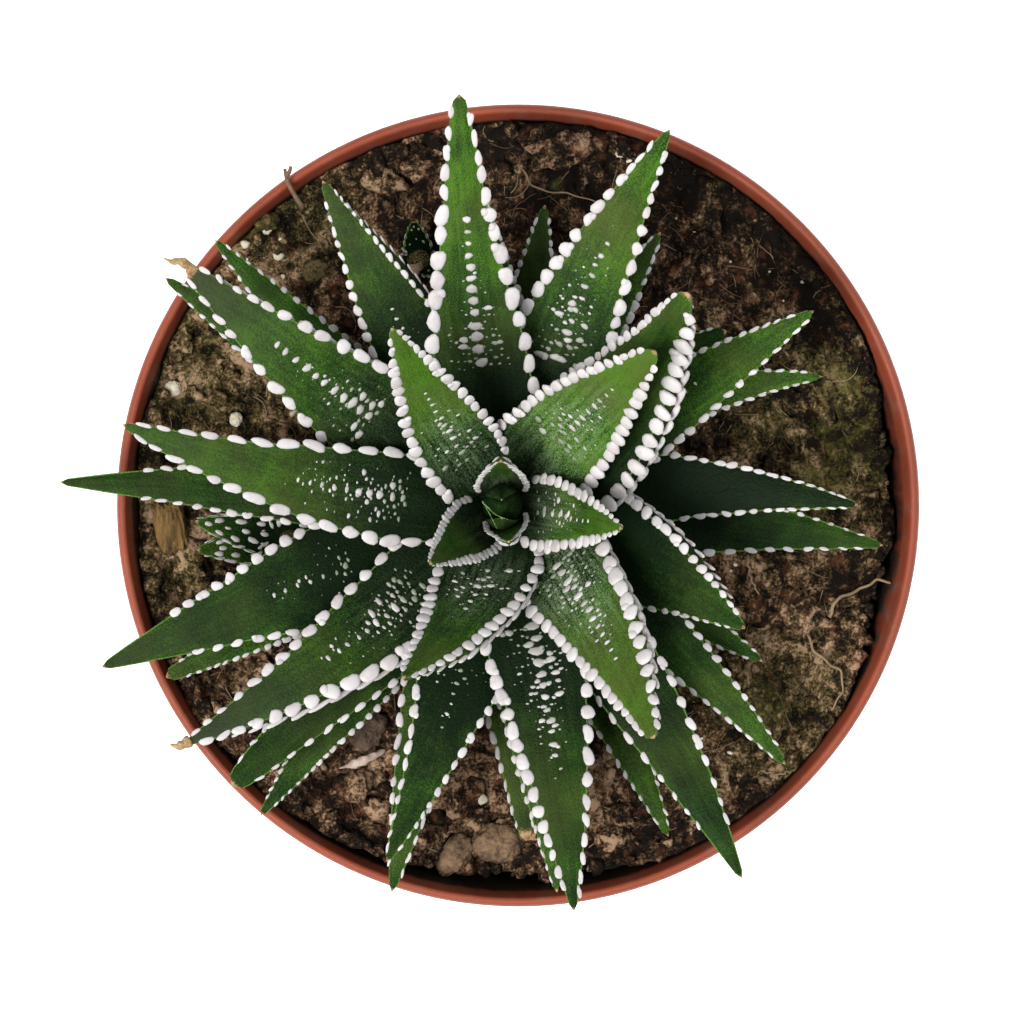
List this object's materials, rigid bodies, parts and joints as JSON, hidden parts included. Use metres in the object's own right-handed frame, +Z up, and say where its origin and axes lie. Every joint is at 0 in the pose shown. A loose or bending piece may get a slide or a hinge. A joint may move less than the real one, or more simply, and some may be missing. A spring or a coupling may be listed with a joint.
{
  "type": "potted haworthia",
  "caption": "Rosette succulent with stiff pointed leaves edged in raised white pearls, growing in soil in a tapered round plastic nursery pot with a collar rim.",
  "frame": {"origin": "on the pot's axis at its underside, where the pot rests", "axes": "+Z up along the pot's axis; +Y is the top of the picture and +X its right"},
  "size_m": [0.1114, 0.105, 0.1241],
  "materials": {
    "pot": "satin terracotta-coloured plastic with fine scuffs",
    "soil": "dark crumbly peat with lighter fibres, moss and grit",
    "stem": "dry fibrous stem and pale roots",
    "leaf": "firm green skin with a soft sheen, edged and dotted with white pearls",
    "stone": "dusty tan grit",
    "perlite": "matte white expanded grain",
    "bark": "rough brown bark",
    "dry_leaf": "dry pinkish leaf skin"
  },
  "bodies": {
    "root": {"pot": "pot", "soil": "soil", "stem_and_roots": "stem", "bud_leaf_1": "leaf", "bud_leaf_2": "leaf", "leaf_01": "leaf", "leaf_02": "leaf", "leaf_03": "leaf", "leaf_04": "leaf", "leaf_05": "leaf", "leaf_06": "leaf", "leaf_07": "leaf", "leaf_08": "leaf", "leaf_09": "leaf", "leaf_10": "leaf", "leaf_11": "leaf", "leaf_12": "leaf", "leaf_13": "leaf", "leaf_14": "leaf", "leaf_15": "leaf", "leaf_16": "leaf", "leaf_17": "leaf", "leaf_18": "leaf", "leaf_19": "leaf", "leaf_20": "leaf", "leaf_21": "leaf", "leaf_22": "leaf", "leaf_23": "leaf", "leaf_24": "leaf", "leaf_25": "leaf", "leaf_26": "leaf", "leaf_27": "leaf", "leaf_28": "leaf", "leaf_29": "leaf", "leaf_30": "leaf", "leaf_31": "leaf", "leaf_32": "leaf", "leaf_33": "leaf", "leaf_34": "leaf", "leaf_35": "leaf", "leaf_36": "leaf", "leaf_37": "leaf", "leaf_38": "leaf", "pup_left": "leaf", "pup_back": "leaf", "stone_long": "stone", "stone_round": "stone", "stone_grey": "stone", "perlite_1": "perlite", "perlite_2": "perlite", "bark_chip": "bark", "shed_leaf_tip": "dry_leaf"}
  },
  "joints": []
}
